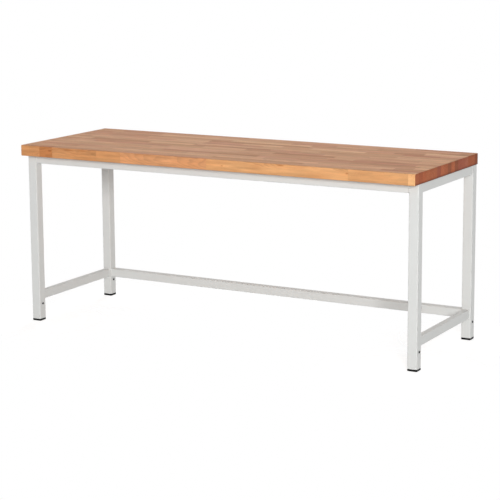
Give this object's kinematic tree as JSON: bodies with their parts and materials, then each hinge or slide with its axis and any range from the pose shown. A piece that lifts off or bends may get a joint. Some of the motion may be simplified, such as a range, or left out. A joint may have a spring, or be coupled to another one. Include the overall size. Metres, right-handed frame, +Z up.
{
  "type": "height-adjustable workbench",
  "caption": "Workbench with a thick beech top on a welded square-tube frame, open at the front, whose telescopic feet slide in the legs and are held by clamp screws.",
  "frame": {"origin": "on the floor, under the middle of the worktop, with the feet pushed all the way in", "axes": "+X along the bench to the right as seen from the front, +Y from the front to the rear, +Z up"},
  "size_m": [2, 0.7, 0.85],
  "materials": {
    "beech": "oiled, edge-glued staves",
    "grey_powder_coat": "light grey powder coat, satin",
    "zinc_plated_steel": "bright zinc plate",
    "black_plastic": "moulded, matt black",
    "black_steel": "black oxide"
  },
  "bodies": {
    "bench": {"worktop": "beech", "front_left_leg": "grey_powder_coat", "front_right_leg": "grey_powder_coat", "rear_left_leg": "grey_powder_coat", "rear_right_leg": "grey_powder_coat", "front_top_rail": "grey_powder_coat", "rear_top_rail": "grey_powder_coat", "left_top_rail": "grey_powder_coat", "right_top_rail": "grey_powder_coat", "rear_lower_rail": "grey_powder_coat", "left_lower_rail": "grey_powder_coat", "right_lower_rail": "grey_powder_coat", "front_left_nut_plate": "zinc_plated_steel", "front_right_nut_plate": "zinc_plated_steel", "rear_left_nut_plate": "zinc_plated_steel", "rear_right_nut_plate": "zinc_plated_steel", "front_1_fixing_lug": "grey_powder_coat", "front_2_fixing_lug": "grey_powder_coat", "front_3_fixing_lug": "grey_powder_coat", "rear_1_fixing_lug": "grey_powder_coat", "rear_2_fixing_lug": "grey_powder_coat", "rear_3_fixing_lug": "grey_powder_coat", "front_1_wood_screw": "zinc_plated_steel", "front_2_wood_screw": "zinc_plated_steel", "front_3_wood_screw": "zinc_plated_steel", "rear_1_wood_screw": "zinc_plated_steel", "rear_2_wood_screw": "zinc_plated_steel", "rear_3_wood_screw": "zinc_plated_steel"},
    "front_left_foot": {"front_left_foot_tube": "zinc_plated_steel", "front_left_foot_cap": "black_plastic"},
    "front_right_foot": {"front_right_foot_tube": "zinc_plated_steel", "front_right_foot_cap": "black_plastic"},
    "rear_left_foot": {"rear_left_foot_tube": "zinc_plated_steel", "rear_left_foot_cap": "black_plastic"},
    "rear_right_foot": {"rear_right_foot_tube": "zinc_plated_steel", "rear_right_foot_cap": "black_plastic"},
    "front_left_clamp": {"front_left_clamp_screw": "black_steel"},
    "front_right_clamp": {"front_right_clamp_screw": "black_steel"},
    "rear_left_clamp": {"rear_left_clamp_screw": "black_steel"},
    "rear_right_clamp": {"rear_right_clamp_screw": "black_steel"}
  },
  "joints": [
    {"name": "front_left_foot_slide", "type": "slide", "parent": "bench", "child": "front_left_foot", "axis": [0, 0, -1], "range_m": [0, 0.2]},
    {"name": "front_right_foot_slide", "type": "slide", "parent": "bench", "child": "front_right_foot", "axis": [0, 0, -1], "range_m": [0, 0.2]},
    {"name": "rear_left_foot_slide", "type": "slide", "parent": "bench", "child": "rear_left_foot", "axis": [0, 0, -1], "range_m": [0, 0.2]},
    {"name": "rear_right_foot_slide", "type": "slide", "parent": "bench", "child": "rear_right_foot", "axis": [0, 0, -1], "range_m": [0, 0.2]},
    {"name": "front_left_clamp_turn", "type": "hinge", "parent": "bench", "child": "front_left_clamp", "pos_m": [-0.9507, -0.2785, 0.082], "axis": [1, 0, 0], "range_deg": [0, 720]},
    {"name": "front_right_clamp_turn", "type": "hinge", "parent": "bench", "child": "front_right_clamp", "pos_m": [0.9963, -0.2785, 0.082], "axis": [1, 0, 0], "range_deg": [0, 720]},
    {"name": "rear_left_clamp_turn", "type": "hinge", "parent": "bench", "child": "rear_left_clamp", "pos_m": [-0.9507, 0.3265, 0.082], "axis": [1, 0, 0], "range_deg": [0, 720]},
    {"name": "rear_right_clamp_turn", "type": "hinge", "parent": "bench", "child": "rear_right_clamp", "pos_m": [0.9963, 0.3265, 0.082], "axis": [1, 0, 0], "range_deg": [0, 720]}
  ]
}
